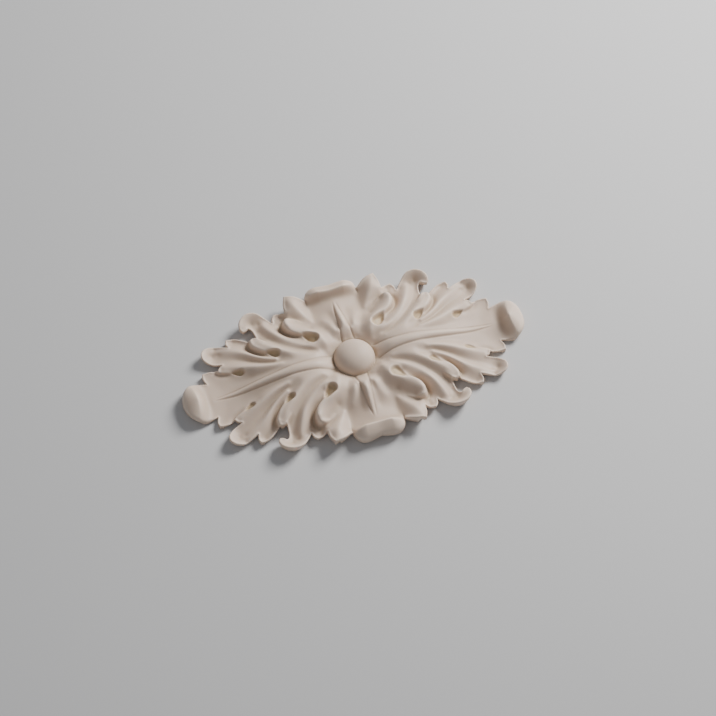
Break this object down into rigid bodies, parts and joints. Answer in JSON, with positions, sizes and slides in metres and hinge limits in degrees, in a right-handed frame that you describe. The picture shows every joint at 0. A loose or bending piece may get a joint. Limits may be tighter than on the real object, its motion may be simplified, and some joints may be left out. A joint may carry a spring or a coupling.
{
  "type": "ceiling rosette",
  "caption": "Lozenge-shaped acanthus rosette with a domed button, long and short leaves with rolled ends, hooked side lobes and a flat back.",
  "frame": {"origin": "middle of the flat back, straight under the button", "axes": "+X along the long leaves, +Y along the short leaves, +Z out of the carved face, away from the surface it is fixed to"},
  "size_m": [0.3, 0.1552, 0.023],
  "materials": {
    "plaster": "matt, faintly satin warm white casting plaster"
  },
  "bodies": {
    "root": {"rosette": "plaster"}
  },
  "joints": []
}
